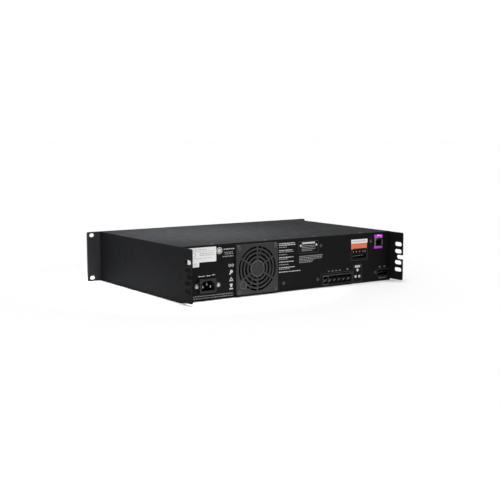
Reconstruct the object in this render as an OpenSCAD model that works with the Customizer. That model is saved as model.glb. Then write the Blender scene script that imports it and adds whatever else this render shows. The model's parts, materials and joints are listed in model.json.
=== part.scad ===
// Two-unit rack power amplifier for fixed installations, in millimetres, +Z up.
// +Y runs from the front panel to the rear panel; +X is to the right seen from the front.
// The origin lies under the middle of the overall depth, on the surface that the case stands on.

/* [Rack fit] */
// Width across the front rack ears (19 inch standard)
panel_w = 482.6; // [480:0.1:484]
// Height of the front panel (two rack units)
panel_h = 88.1; // [87:0.1:88.9]
// Thickness of the front panel
ear_t = 4; // [3:0.5:5]
// Distance between the left and right rack slots
rack_pitch_x = 465.1; // [464:0.1:466]
// Distance between the upper and lower rack slots
rack_pitch_z = 76.2; // [76.2:0.1:76.3]
// Length of a rack slot, end to end
rack_slot_l = 10; // [8:0.5:11]
// Width of a rack slot
rack_slot_w = 6.8; // [6.4:0.1:7.2]
// Corner radius of the front rack ears
ear_corner_r = 2.5; // [1:0.5:6]

/* [Case] */
// Width over the side walls
body_w = 433.6; // [430:0.1:440]
// Depth from the back of the rack ears to the outer face of the rear panel
body_depth = 287; // [270:1:320]
// Sheet thickness of floor, cover and rear panel
sheet = 1.5; // [1.2:0.1:1.8]
// Thickness of a side wall and its rear ear
side_t = 2; // [1.5:0.1:2.5]
// Length of the rear ears behind the rear panel
rear_ear_l = 33.5; // [30:0.5:40]
// Height of the rear ears' lower edge above the floor
ear_foot = 2.9; // [1:0.1:4]
// Corner radius of the rear ears
rear_ear_r = 3.5; // [2:0.5:6]
// Length of a closed slot in a rear ear
ear_slot_l = 18; // [14:0.5:20]
// Width of the slots and the notch in a rear ear
ear_slot_w = 7.3; // [6:0.1:8]
// Distance between neighbouring slots of one pair
ear_slot_pitch = 12.7; // [12:0.1:14]
// Distance from the middle of the ear to the nearer slot of each pair
ear_slot_near = 10; // [9:0.1:11]
// Depth of the open notch in the middle of a rear ear
ear_notch_l = 15; // [10:0.5:18]
// Distance from the end of a rear ear to its closed slots
ear_slot_margin = 2.5; // [2:0.5:5]

/* [Front bezel] */
// How far the bezel stands in front of the rack ears
bezel_proud = 9.5; // [8:0.5:12]
// Height of the bezel
bezel_h = 84; // [80:1:86]
// Chamfer along the bezel's front edges
bezel_chamfer = 3; // [1:0.5:4]
// Middle of the air intake
intake_x = -108; // [-112:1:-104]
// Width of the air intake
intake_w = 190; // [150:1:200]
// Height of the air intake
intake_h = 62; // [50:1:66]
// Number of slats in the air intake
slat_count = 9; // [6:1:12]
// Middle of the control recess
control_x = 108; // [104:1:112]
// Width of the control recess
control_w = 196; // [180:1:200]
// Height of the control recess
control_h = 50; // [46:1:56]
// Width of the display window
display_w = 70; // [60:1:76]
// Height of the display window
display_h = 30; // [24:1:34]
// Travel of the menu buttons
key_travel = 0.8; // [0.5:0.1:1]
// Travel of the power button
power_travel = 2; // [1.5:0.1:2.5]
// Radius of the power button
power_r = 7; // [6:0.5:8]

/* [Fan] */
// Side length of the fan frame
fan_size = 80; // [80:1:80]
// Depth of the fan frame
fan_depth = 25; // [25:1:30]
// Middle of the fan, across
fan_x = 75; // [72:1:78]
// Middle of the fan, above the floor
fan_z = 44; // [43:0.5:45]
// Distance between the fan's mounting screws
fan_pitch = 71.5; // [71.5:0.1:71.6]
// Side length of the finger guard
guard_size = 82; // [81:0.5:83]
// Thickness of the finger guard
guard_t = 3; // [2:0.5:4]
// Number of fan blades
blade_count = 7; // [5:1:9]

/* [Rear connectors] */
// Middle of the mains inlet, across
inlet_x = 170; // [160:1:175]
// Middle of the mains inlet, above the floor
inlet_z = 24; // [20:0.5:30]
// Middle of the network jack, across
jack_x = -187.5; // [-190:0.5:-180]
// Middle of the network jack, above the floor
jack_z = 70.3; // [66:0.1:72]
// Middle of the input header, across
input_x = -143.5; // [-150:0.5:-140]
// Middle of the input header, above the floor
input_z = 48.5; // [46:0.5:56]
// Middle of the output header, across
output_x = -93.5; // [-100:0.5:-90]
// Middle of the output header, above the floor
output_z = 12.1; // [12.1:0.1:14]
// Middle of the control port, across
aux_x = -199.3; // [-202:0.1:-190]
// Middle of the control port, above the floor
aux_z = 14.6; // [13:0.1:18]

/* [Inside] */
// Thickness of the circuit boards
board_t = 1.6; // [1.2:0.1:2]
// Height of the standoffs under the boards
standoff_h = 8; // [6:1:10]
// Radius of a bulk capacitor
bulk_r = 15; // [12:0.5:17]
// Height of a bulk capacitor
bulk_h = 46; // [35:1:60]
// Number of fins on each heatsink
fin_count = 9; // [6:1:11]

/* [Hidden] */
$fn = 64;

y_front = -(bezel_proud + ear_t + body_depth + rear_ear_l) / 2;
y_plate = y_front + bezel_proud;
y_ear = y_plate + ear_t;
y_rear = y_ear + body_depth;
y_inner = y_rear - sheet;
y_end = y_rear + rear_ear_l;
mid_z = panel_h / 2;
cover_z = panel_h - sheet;
ear_top = panel_h - 0.4;
wall_x = body_w / 2 - side_t;
board_z = sheet + standoff_h;
board_top = board_z + board_t;
label_t = 0.15;
screw_gap = 0.1;
move_gap = 0.3;

// Windows behind the air intake, in the front panel
window_count = 6;
window_pitch = (intake_w - 2) / window_count;
window_web = 5;

// Front: layers of the bezel, counted back from its face
recess = 2;
recess_wall = 2.5;
y_recess = y_front + recess;
y_recess_back = y_recess + recess_wall;
grille_t = 3;
slat_h = 2.4;
filter_t = y_plate - (y_front + recess + grille_t);
lens_t = 1.5;
front_board_y = y_ear + 4;
front_board_half_h = 27;
switch_h = 3;
power_switch_h = 4;
key_w = 11;
key_h = 7;
key_r = 1.5;
key_flange = 1.2;
flange_t = 1;
stem_r = 2;
display_x = control_x - control_w / 2 + 14 + display_w / 2;
light_x = display_x + display_w / 2 + 14;
light_pitch = 8;
light_rows = 4;
light_r = 1.5;
key_x = light_x + 3 * light_pitch + 4;
key_dx = 9;
key_dz = 8;
power_x = control_x + control_w / 2 - 15;

// Front flange of a side wall, and the floor pan's side lips
flange_w = 14;
flange_half_h = 30.5;
pan_lip_h = 10;

// Screws and their places
bezel_screw_x = [-210, (intake_x + control_x) / 2 - 1.5, 210];
corner_screw_x = wall_x - 6.5;
m4_r = 2;
fan_screw_r = 2.1;
cover_screw_x = [-153.5, -51, 51, 153.5];
cover_screw_y = y_rear - 10.5;
cover_flange = 18;
m3_r = 1.5;
m3_head_r = 2.9;
m3_head_h = 1.8;
panel_screws = [[-57.8, 72.5], [20.4, 14.7], [-51.7, 14.7], [-169.4, 72.4], [-181.1, 16.4]];
nut_r = 3.2;
nut_h = 3;

// Rear connectors
inlet_w = 24.4;
inlet_h = 15.8;
inlet_depth = 22;
inlet_screw_dx = 20;
inlet_flange_t = 2.5;
inlet_rim_w = 31;
inlet_rim_h = 22.5;
inlet_rim_t = 2;
inlet_wall = 1.6;
inlet_pin_dx = 7;
jack_w = 17;
jack_h = 15.5;
jack_depth = 21;
jack_open_w = 12;
jack_open_h = 11.5;
jack_proud = 0.8;
input_ways = 8;
input_pitch = 3.81;
input_w = input_ways * input_pitch + 4;
input_h = 9;
output_ways = 6;
output_pitch = 10.16;
output_w = output_ways * output_pitch + 5;
output_h = 17;
aux_ways = 6;
aux_pitch = 3.81;
aux_w = aux_ways * aux_pitch + 3.6;
aux_h = 10.5;
input_depth = 13;
output_depth = 16;
header_floor = 3;
pin_tip = 4.5;
small_pin = 1;
big_pin = 2;

// Labels: corners of the rating label, its tab, and the bands over the input header and round the jack
rating_a = [152, 61.5];
rating_b = [204.5, 85];
rating_tab_w = 21;
rating_tab_h = 7.1;
input_film_x = [-161, -125];
input_film_z = [62, 71, 78];
jack_film_x = [-197, -178];
jack_film_z = [[78.3, 83.7], [59, 62.3]];

// Fan
hub_r = 15.5;
fan_bore_r = 38;
blade_r = 36.6;
fan_y0 = y_inner - fan_depth;
shaft_r = 1.5;
shaft_clear = 0.04;
guard_disc_r = 14;
guard_ring_r = [17.2, 20.4, 24.1, 27.1, 30.4, 33.4, 36.6];
guard_spoke_w = 3;
impeller_h = 18;
blade_t = 1.6;
blade_pitch_angle = 52;
bearing_r = 4;
strut_w = 4;
strut_turn = 20;

// Boards: [left, right, front, back]
psu_box = [118, 208, -128, 92];
amp_box = [-112, 112, -118, 98];
sink_w = 60;
sink_gap = 14;
signal_box = [-208, -118, -118, 116];
port_board_box = [-206, -124, 38, 83];
board_inset = 6;
board_hole_r = 1.7;

// Components on the boards
toroid_lift = 2;
choke_at = [180, 60];
choke_r = 9;
choke_wire_r = 5;
x_cap_at = [[140, 70], [140, 48]];
x_cap = [26, 10, 17];
inlet_block = [24, 12];
bulk_x = [140, 178];
bulk_y = [-105, -70];
transformer_at = [164, -10];
core_size = [54, 32, 46];
core_window = [12, 26];
core_window_x = 14;
winding_r = 19.5;
winding_core_w = 16;
sink_y = [-60, 80];
sink_base_h = 6;
sink_h = 60;
fin_t = 2;
transistor = [4.6, 15, 20];
transistor_y = [-50:20:50];
inductor_x = [-92, -62];
inductor_y = [0, 34];
inductor_r = 8;
inductor_wire_r = 4.5;
film_cap_x = [-108, -86, -64];
film_cap_y = [58, 74];
film_cap = [16, 8, 14];
processor_at = [[-176, -60], [-176, -20]];
processor_size = [[20, 20, 1.6], [14, 14, 1.2]];
converter_x = [-196:18:-142];
converter_y = 30;
converter_size = [8, 6, 1.5];
panel_standoff_x = 78;

// Solid over a shape drawn across (X) and up (Z), from y0 back to y1
module along_y(y0, y1) translate([0, y1, 0]) rotate([90, 0, 0]) linear_extrude(y1 - y0) children();

// Solid over a shape drawn back (Y) and up (Z), from x0 right to x1
module along_x(x0, x1) translate([x0, 0, 0]) rotate([90, 0, 90]) linear_extrude(x1 - x0) children();

// Block between two opposite corners
module block(a, b) translate(a) cube(b - a);

// Rectangle with true arcs at its corners, centred on the origin
module round_rect(w, h, r) {
    square([w - 2 * r, h], center = true);
    square([w, h - 2 * r], center = true);
    for (x = [-1, 1], z = [-1, 1]) translate([x * (w / 2 - r), z * (h / 2 - r)]) circle(r);
}

// Oblong with round ends, long side across, centred on the origin
module slot(l, w) {
    square([l - w, w], center = true);
    for (x = [-1, 1]) translate([x * (l - w) / 2, 0]) circle(w / 2);
}

// Pan-head screw: the head's underside is at the origin, and the shank points down
module screw(r, head_r, head_h, l) {
    difference() {
        union() {
            cylinder(r = head_r, h = head_h - 0.5);
            translate([0, 0, head_h - 0.5]) cylinder(r1 = head_r, r2 = head_r - 0.5, h = 0.5);
        }
        for (a = [0, 90]) rotate(a)
            translate([-head_r * 0.6, -0.4, head_h - 1]) cube([head_r * 1.2, 0.8, 2]);
    }
    translate([0, 0, -l]) cylinder(r = r, h = l);
}

// Turns what points up so that it points out of the rear panel
module face_rear() rotate([-90, 0, 0]) children();

// Turns what points up so that it points out of the front
module face_front() rotate([90, 0, 0]) children();

// ---------------------------------------------------------------- front

module front_panel() color([0.17, 0.17, 0.18])
    difference() {
        along_y(y_plate, y_ear) difference() {
            translate([0, mid_z]) round_rect(panel_w, panel_h, ear_corner_r);
            for (x = [-1, 1], z = [-1, 1])
                translate([x * rack_pitch_x / 2, mid_z + z * rack_pitch_z / 2])
                    slot(rack_slot_l, rack_slot_w);
            for (i = [0:window_count - 1])
                translate([intake_x + (i - (window_count - 1) / 2) * window_pitch, mid_z])
                    round_rect(window_pitch - window_web, intake_h - 4, 2);
            translate([control_x, mid_z]) round_rect(control_w - 14, control_h - 8, 3);
            for (p = bezel_screw_points()) translate(p) circle(m3_r + screw_gap);
        }
        for (p = corner_screw_points())
            translate([p[0], y_ear + 1, p[1]]) face_front() cylinder(r = m4_r, h = ear_t);
    }

// Places of the screws that hold the bezel
function bezel_screw_points() = [for (x = bezel_screw_x, z = [-34, 34]) [x, mid_z + z]];

// Places of the screws that join the front panel to the side walls
function corner_screw_points() = [for (x = [-1, 1], z = [-26, 26]) [x * corner_screw_x, mid_z + z]];

module front_bezel() color([0.09, 0.09, 0.1])
    difference() {
        intersection() {
            along_x(-body_w / 2, body_w / 2) polygon([
                [y_plate, mid_z - bezel_h / 2], [y_front + bezel_chamfer, mid_z - bezel_h / 2],
                [y_front, mid_z - bezel_h / 2 + bezel_chamfer],
                [y_front, mid_z + bezel_h / 2 - bezel_chamfer],
                [y_front + bezel_chamfer, mid_z + bezel_h / 2], [y_plate, mid_z + bezel_h / 2]]);
            linear_extrude(panel_h) polygon([
                [-body_w / 2, y_plate], [-body_w / 2, y_front + bezel_chamfer],
                [bezel_chamfer - body_w / 2, y_front], [body_w / 2 - bezel_chamfer, y_front],
                [body_w / 2, y_front + bezel_chamfer], [body_w / 2, y_plate]]);
        }
        along_y(y_front - 1, y_plate + 1)
            translate([intake_x, mid_z]) round_rect(intake_w, intake_h, 4);
        along_y(y_front - 1, y_recess)
            translate([control_x, mid_z]) round_rect(control_w, control_h, 4);
        along_y(y_recess_back, y_plate + 1)
            translate([control_x, mid_z]) round_rect(control_w - 8, control_h - 2, 3);
        along_y(y_recess - 1, y_recess_back + 1) {
            translate([display_x, mid_z]) round_rect(display_w, display_h, 2);
            for (p = key_points())
                translate(p) round_rect(key_w + 2 * move_gap, key_h + 2 * move_gap, key_r);
            translate([power_x, mid_z]) circle(power_r + move_gap);
            for (p = light_points()) translate(p) circle(light_r + screw_gap);
        }
        for (p = bezel_screw_points())
            translate([p[0], y_plate + 1, p[1]]) face_front() cylinder(r = m3_r, h = 6);
    }

// Places of the four menu keys: previous, next, menu, exit
function key_points() =
    [for (s = [[-1, 1], [1, 1], [-1, -1], [1, -1]])
        [key_x + key_dx + s[0] * key_dx, mid_z + s[1] * key_dz]];

// Places of the channel lights: one row for each channel
function light_points() =
    [for (i = [0:2], j = [0:light_rows - 1])
        [light_x + (i - 1) * light_pitch, mid_z + (j - (light_rows - 1) / 2) * light_pitch]];

module intake_grille() color([0.13, 0.13, 0.14])
    along_y(y_front + recess, y_front + recess + grille_t) translate([intake_x, mid_z]) {
        difference() {
            round_rect(intake_w, intake_h, 4);
            round_rect(intake_w - 6, intake_h - 6, 2);
        }
        for (i = [1:slat_count - 1])
            translate([0, (i / slat_count - 0.5) * (intake_h - 6)])
                square([intake_w - 5, slat_h], center = true);
        for (i = [-2.5:2.5])
            translate([i * intake_w / 6, 0]) square([1.6, intake_h - 5], center = true);
    }

module dust_filter() color([0.05, 0.05, 0.05])
    along_y(y_plate - filter_t, y_plate)
        translate([intake_x, mid_z]) round_rect(intake_w - 1, intake_h - 1, 3.5);

module display_lens() color([0.02, 0.03, 0.04])
    along_y(y_recess + 0.2, y_recess + 0.2 + lens_t)
        translate([display_x, mid_z]) round_rect(display_w - 0.4, display_h - 0.4, 1.8);

module display_module() color([0.1, 0.25, 0.2])
    block([display_x - display_w / 2 - 3, y_plate + 0.5, mid_z - display_h / 2 - 3],
          [display_x + display_w / 2 + 3, front_board_y, mid_z + display_h / 2 + 3]);

module indicator_lights() color([0.8, 0.85, 0.8])
    for (p = light_points())
        translate([p[0], y_recess - 0.4, p[1]]) face_rear()
            cylinder(r = light_r, h = front_board_y - y_recess + 0.4);

module menu_button(p) {
    along_y(y_front, y_recess_back + move_gap + 0.1) translate(p) round_rect(key_w, key_h, key_r - 0.3);
    along_y(y_recess_back + move_gap, y_recess_back + move_gap + flange_t)
        translate(p) square([key_w + 2 * key_flange, key_h + 2 * key_flange], center = true);
    translate([p[0], y_recess_back + move_gap + 0.2, p[1]]) face_rear()
        cylinder(r = stem_r, h = front_board_y - switch_h - key_travel - move_gap
                                 - (y_recess_back + move_gap + 0.2));
}

module previous_key() color([0.3, 0.3, 0.31]) menu_button(key_points()[0]);

module next_key() color([0.3, 0.3, 0.31]) menu_button(key_points()[1]);

module menu_key() color([0.3, 0.3, 0.31]) menu_button(key_points()[2]);

module exit_key() color([0.3, 0.3, 0.31]) menu_button(key_points()[3]);

module power_button() color([0.35, 0.35, 0.37])
    translate([power_x, y_front, mid_z]) face_rear() {
        cylinder(r = power_r, h = recess + recess_wall + move_gap + 0.1);
        translate([0, 0, recess + recess_wall + move_gap]) cylinder(r = power_r + key_flange, h = flange_t);
        cylinder(r = stem_r + 1,
                 h = front_board_y - power_switch_h - power_travel - move_gap - y_front);
    }

module front_board() color([0.05, 0.3, 0.15])
    block([control_x - control_w / 2 + 6, front_board_y, mid_z - front_board_half_h],
          [control_x + control_w / 2 - 6, front_board_y + board_t, mid_z + front_board_half_h]);

module key_switches() color([0.6, 0.6, 0.62]) {
    for (p = key_points())
        block([p[0] - 3, front_board_y - switch_h, p[1] - 3], [p[0] + 3, front_board_y, p[1] + 3]);
    block([power_x - 6, front_board_y - power_switch_h, mid_z - 6], [power_x + 6, front_board_y, mid_z + 6]);
}

module front_panel_screws() color([0.5, 0.5, 0.5])
    for (p = corner_screw_points())
        translate([p[0], y_ear + side_t, p[1]]) face_rear() screw(m4_r, 3.6, 2.4, side_t + 3);

module bezel_screws() color([0.4, 0.4, 0.4])
    for (p = bezel_screw_points())
        translate([p[0], y_ear, p[1]]) face_rear() screw(m3_r, m3_head_r, m3_head_h, ear_t + 4);

// ---------------------------------------------------------------- case

module bottom_pan() color([0.1, 0.1, 0.1]) {
    block([-wall_x, y_ear, 0], [wall_x, y_rear, sheet]);
    for (x = [-1, 1]) translate([x * (wall_x - sheet / 2), (y_ear + y_rear) / 2, sheet + pan_lip_h / 2])
        cube([sheet, body_depth - 40, pan_lip_h], center = true);
}

// Side wall that runs on behind the rear panel as a slotted rack ear
module side_panel(x) {
    along_x(x, x + side_t) difference() {
        union() {
            translate([y_ear, 0]) square([body_depth, cover_z]);
            translate([y_rear, ear_foot]) square([rear_ear_l - rear_ear_r, ear_top - ear_foot]);
            translate([y_rear - 1, ear_foot + rear_ear_r])
                square([rear_ear_l + 1, cover_z - ear_foot - 2 * rear_ear_r]);
            translate([y_rear, ear_foot + rear_ear_r])
                square([rear_ear_l, ear_top - ear_foot - 2 * rear_ear_r]);
            for (z = [ear_foot + rear_ear_r, ear_top - rear_ear_r])
                translate([y_end - rear_ear_r, z]) circle(rear_ear_r);
        }
        for (s = [-1, 1], i = [0, 1])
            translate([y_end - ear_slot_margin - ear_slot_l / 2,
                       mid_z + s * (ear_slot_near + i * ear_slot_pitch)])
                slot(ear_slot_l, ear_slot_w);
        translate([y_end - ear_notch_l + ear_slot_w / 2, mid_z]) circle(ear_slot_w / 2);
        translate([y_end - ear_notch_l + ear_slot_w / 2, mid_z - ear_slot_w / 2])
            square([ear_notch_l, ear_slot_w]);
    }
    edge = x > 0 ? x - flange_w : x + side_t;
    difference() {
        block([edge, y_ear, mid_z - flange_half_h], [edge + flange_w, y_ear + side_t, mid_z + flange_half_h]);
        for (p = corner_screw_points())
            translate([p[0], y_ear - 1, p[1]]) face_rear() cylinder(r = m4_r + screw_gap, h = side_t + 2);
    }
}

module right_side_panel() color([0.14, 0.14, 0.14]) side_panel(wall_x);

module left_side_panel() color([0.14, 0.14, 0.14]) side_panel(-wall_x - side_t);

module rear_panel() color([0.07, 0.075, 0.075])
    difference() {
        union() {
            block([-wall_x, y_inner, sheet], [wall_x, y_rear, cover_z]);
            block([-wall_x, y_rear - cover_flange, cover_z - sheet], [wall_x, y_rear, cover_z]);
        }
        for (x = cover_screw_x)
            translate([x, cover_screw_y, cover_z - sheet - 1]) cylinder(r = m3_r, h = sheet + 2);
        translate([0, y_inner - 1, 0]) face_rear() {
            translate([fan_x, -fan_z, 0]) cylinder(r = fan_bore_r + 0.6, h = sheet + 2);
            for (x = [-1, 1], z = [-1, 1])
                translate([fan_x + x * fan_pitch / 2, z * fan_pitch / 2 - fan_z, 0])
                    cylinder(r = fan_screw_r + screw_gap, h = sheet + 2);
            for (x = [-1, 1])
                translate([inlet_x + x * inlet_screw_dx, -inlet_z, 0])
                    cylinder(r = m3_r + screw_gap, h = sheet + 2);
            for (p = panel_screws) translate([p[0], -p[1], 0]) cylinder(r = m3_r + screw_gap, h = sheet + 2);
        }
        along_y(y_inner - 1, y_rear + 1) {
            translate([inlet_x, inlet_z])
                square([inlet_w + 2 * inlet_wall + 0.2, inlet_h + 2 * inlet_wall + 0.2], center = true);
            translate([jack_x, jack_z]) square([jack_w + 0.2, jack_h + 0.2], center = true);
            translate([input_x, input_z]) square([input_w + 0.2, input_h + 0.2], center = true);
            translate([output_x, output_z]) square([output_w + 0.2, output_h + 0.2], center = true);
            translate([aux_x, aux_z]) square([aux_w + 0.2, aux_h + 0.2], center = true);
        }
    }

module top_cover() color([0.24, 0.24, 0.25])
    difference() {
        block([-body_w / 2, y_ear, cover_z], [body_w / 2, y_rear, panel_h]);
        for (x = cover_screw_x)
            translate([x, cover_screw_y, cover_z - 1]) cylinder(r = m3_r + screw_gap, h = sheet + 2);
        for (x = cover_screw_x)
            translate([x, cover_screw_y, panel_h - 0.9])
                cylinder(r1 = m3_r + 1, r2 = m3_head_r + 0.3, h = 0.91);
    }

module top_cover_screws() color([0.3, 0.3, 0.31])
    for (x = cover_screw_x) translate([x, cover_screw_y, 0]) difference() {
        union() {
            translate([0, 0, panel_h - 0.9]) cylinder(r1 = m3_r + 0.9, r2 = m3_head_r + 0.2, h = 0.9);
            translate([0, 0, cover_z - sheet - 0.7]) cylinder(r = m3_r, h = sheet + 1.4);
        }
        for (a = [0, 90]) rotate(a) translate([-1.7, -0.35, panel_h - 0.6]) cube([3.4, 0.7, 2]);
    }

module rear_panel_screws() color([0.35, 0.35, 0.36])
    for (p = panel_screws)
        translate([p[0], y_rear, p[1]]) face_rear() screw(m3_r, m3_head_r, m3_head_h, sheet + 4);

module clinch_nuts() color([0.7, 0.7, 0.7])
    for (p = nut_points())
        translate([p[0], y_inner, p[1]]) face_front() difference() {
            cylinder(r = nut_r, h = nut_h, $fn = 6);
            translate([0, 0, -1]) cylinder(r = m3_r, h = nut_h + 2);
        }

// ---------------------------------------------------------------- fan

module ring(outer, inner) difference() {
    circle(outer);
    circle(inner);
}

module fan_guard() color([0.2, 0.2, 0.205])
    difference() {
        along_y(y_rear, y_rear + guard_t) translate([fan_x, fan_z]) {
            difference() {
                round_rect(guard_size, guard_size, 3);
                circle(guard_ring_r[6]);
            }
            for (i = [0, 2, 4]) ring(guard_ring_r[i + 1], guard_ring_r[i]);
            circle(guard_disc_r);
            for (a = [30:60:330]) rotate(a)
                translate([guard_disc_r - 2, -guard_spoke_w / 2])
                    square([guard_ring_r[6] + 1.4 - (guard_disc_r - 2), guard_spoke_w]);
        }
        for (x = [-1, 1], z = [-1, 1])
            translate([fan_x + x * fan_pitch / 2, y_rear - 1, fan_z + z * fan_pitch / 2])
                face_rear() cylinder(r = fan_screw_r + screw_gap, h = guard_t + 2);
    }

module fan_frame() color([0.06, 0.06, 0.06])
    difference() {
        union() {
            along_y(fan_y0, y_inner) translate([fan_x, fan_z]) difference() {
                round_rect(fan_size, fan_size, 5);
                circle(fan_bore_r);
            }
            along_y(y_inner - 3, y_inner) translate([fan_x, fan_z]) {
                circle(hub_r - 1);
                for (a = [0:90:270]) rotate(a + strut_turn)
                    translate([hub_r - 3, -strut_w / 2]) square([fan_bore_r + 0.5 - (hub_r - 3), strut_w]);
            }
        }
        for (x = [-1, 1], z = [-1, 1])
            translate([fan_x + x * fan_pitch / 2, fan_y0 - 1, fan_z + z * fan_pitch / 2])
                face_rear() cylinder(r = fan_screw_r, h = fan_depth + 2);
        translate([fan_x, fan_y0, fan_z]) face_rear() cylinder(r = bearing_r, h = fan_depth - 1);
        for (x = [-1, 1], z = [-1, 1])
            along_y(fan_y0 + 5, y_inner - 5) translate([fan_x + x * fan_pitch / 2, fan_z + z * fan_pitch / 2])
                translate([x * 3, z * 3]) square([9, 9], center = true);
    }

module fan_stator() color([0.55, 0.35, 0.2])
    translate([fan_x, y_inner - 15, fan_z]) face_rear() difference() {
        union() {
            for (a = [0, 90]) rotate(a) translate([-12, -4, 3]) cube([24, 8, 6]);
            cylinder(r = 7, h = 12);
        }
        translate([0, 0, -1]) cylinder(r = bearing_r, h = 14);
    }

module fan_bearing() color([0.75, 0.6, 0.35])
    translate([fan_x, y_inner - 16, fan_z]) face_rear() difference() {
        cylinder(r = bearing_r, h = 15);
        translate([0, 0, -1]) cylinder(r = shaft_r + shaft_clear, h = 15);
    }

module fan_impeller() color([0.05, 0.05, 0.05])
    translate([fan_x, fan_y0 + 2, fan_z]) face_rear() {
        difference() {
            cylinder(r = hub_r, h = impeller_h);
            translate([0, 0, 3]) cylinder(r = hub_r - 1.5, h = impeller_h);
            translate([0, 0, -1]) cylinder(r = shaft_r, h = 5);
        }
        intersection() {
            difference() {
                cylinder(r = blade_r, h = impeller_h);
                translate([0, 0, -1]) cylinder(r = hub_r - 0.7, h = impeller_h + 2);
            }
            for (i = [0:blade_count - 1]) rotate(i * 360 / blade_count)
                translate([blade_r / 2 + 4, 0, impeller_h / 2]) rotate([blade_pitch_angle, 0, 0])
                    cube([blade_r, blade_t, 30], center = true);
        }
    }

module fan_shaft() color([0.75, 0.75, 0.77])
    translate([fan_x, fan_y0 + 2, fan_z]) face_rear() cylinder(r = shaft_r, h = impeller_h);

module fan_screws() color([0.3, 0.3, 0.3])
    for (x = [-1, 1], z = [-1, 1])
        translate([fan_x + x * fan_pitch / 2, y_rear + guard_t, fan_z + z * fan_pitch / 2])
            face_rear() screw(fan_screw_r, 3.8, 2, guard_t + sheet + 10);

// ---------------------------------------------------------------- rear connectors

// Socket outline with the two upper corners cut off
module inlet_outline(grow) polygon([
    [-inlet_w / 2 - grow, -inlet_h / 2 - grow], [inlet_w / 2 + grow, -inlet_h / 2 - grow],
    [inlet_w / 2 + grow, inlet_h / 2 - 5], [inlet_w / 2 - 5, inlet_h / 2 + grow],
    [5 - inlet_w / 2, inlet_h / 2 + grow], [-inlet_w / 2 - grow, inlet_h / 2 - 5]]);

module mains_inlet() color([0.12, 0.12, 0.125])
    difference() {
        union() {
            along_y(y_rear, y_rear + inlet_flange_t) translate([inlet_x, inlet_z]) {
                for (x = [-1, 1]) translate([x * inlet_screw_dx, 0]) circle(5);
                square([2 * inlet_screw_dx, 10], center = true);
            }
            along_y(y_rear, y_rear + inlet_flange_t + inlet_rim_t)
                translate([inlet_x, inlet_z]) round_rect(inlet_rim_w, inlet_rim_h, 2.5);
            along_y(y_rear - inlet_depth, y_rear + 1)
                translate([inlet_x, inlet_z]) inlet_outline(inlet_wall);
        }
        along_y(y_rear - inlet_depth + 5, y_rear + 10) translate([inlet_x, inlet_z]) inlet_outline(0);
        for (p = inlet_pin_points())
            translate([p[0] - 1, y_rear - inlet_depth - 1, p[1] - 2]) cube([2, 8, 4]);
        for (x = [-1, 1]) translate([inlet_x + x * inlet_screw_dx, y_rear - 1, inlet_z])
            face_rear() cylinder(r = m3_r + screw_gap, h = 6);
    }

// Places of the line, neutral and earth pins
function inlet_pin_points() =
    [[inlet_x - inlet_pin_dx, inlet_z - 2], [inlet_x + inlet_pin_dx, inlet_z - 2], [inlet_x, inlet_z + 2]];

// Everything that needs a nut behind the rear panel
function nut_points() =
    concat(panel_screws, [for (x = [-1, 1]) [inlet_x + x * inlet_screw_dx, inlet_z]]);

module mains_inlet_pins() color([0.75, 0.72, 0.6])
    for (p = inlet_pin_points())
        block([p[0] - 1, y_rear - inlet_depth - 8, p[1] - 2], [p[0] + 1, y_rear, p[1] + 2]);

module mains_inlet_screws() color([0.55, 0.55, 0.56])
    for (x = [-1, 1]) translate([inlet_x + x * inlet_screw_dx, y_rear + inlet_flange_t, inlet_z])
        face_rear() screw(m3_r, m3_head_r, m3_head_h, inlet_flange_t + sheet + 4);

module network_jack() color([0.62, 0.62, 0.63])
    difference() {
        along_y(y_rear - jack_depth, y_rear + jack_proud)
            translate([jack_x, jack_z]) square([jack_w, jack_h], center = true);
        along_y(y_rear - jack_depth + 3, y_rear + 2) translate([jack_x, jack_z]) {
            square([jack_open_w, jack_open_h - 4], center = true);
            translate([0, -jack_open_h / 2 + 3.5]) square([6.5, 7], center = true);
        }
    }

module network_jack_contacts() color([0.85, 0.7, 0.35])
    for (i = [-3.5:3.5])
        block([jack_x + i * 1.1 - 0.2, y_rear - jack_depth + 3, jack_z + 2],
              [jack_x + i * 1.1 + 0.2, y_rear - 6, jack_z + 3]);

// Across places of a header's ways
function way_points(x, ways, pitch) = [for (i = [0:ways - 1]) x + (i - (ways - 1) / 2) * pitch];

// Shrouded header: open towards the rear, with one cell for each way
module header(x, z, w, h, ways, pitch, depth, proud, cell_w, wall, pin) difference() {
    along_y(y_rear - depth, y_rear + proud) translate([x, z]) square([w, h], center = true);
    along_y(y_rear - depth + header_floor, y_rear + proud + 1)
        for (p = way_points(x, ways, pitch)) translate([p, z]) square([cell_w, h - 2 * wall], center = true);
    along_y(y_rear - depth - 1, y_rear)
        for (p = way_points(x, ways, pitch)) translate([p, z]) square(pin, center = true);
}

// Square pins of a header, from their tips in the cells to their tails behind it
module header_pins(x, z, ways, pitch, depth, pin, tail)
    along_y(y_rear - depth - tail, y_rear - pin_tip)
        for (p = way_points(x, ways, pitch)) translate([p, z]) square(pin, center = true);

module input_header() color([0.05, 0.05, 0.05])
    header(input_x, input_z, input_w, input_h, input_ways, input_pitch, input_depth, 1,
           input_pitch + 0.1, 1.2, small_pin);

module input_header_pins() color([0.8, 0.8, 0.75])
    header_pins(input_x, input_z, input_ways, input_pitch, input_depth, small_pin, jack_depth - input_depth);

module output_header() color([0.05, 0.05, 0.05])
    header(output_x, output_z, output_w, output_h, output_ways, output_pitch, output_depth, 2,
           8.2, 2, big_pin);

module output_header_pins() color([0.8, 0.8, 0.75])
    header_pins(output_x, output_z, output_ways, output_pitch, output_depth, big_pin, 6);

module control_port() color([0.06, 0.06, 0.06])
    header(aux_x, aux_z, aux_w, aux_h, aux_ways, aux_pitch, input_depth, 1,
           aux_pitch + 0.1, 1.4, small_pin);

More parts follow.
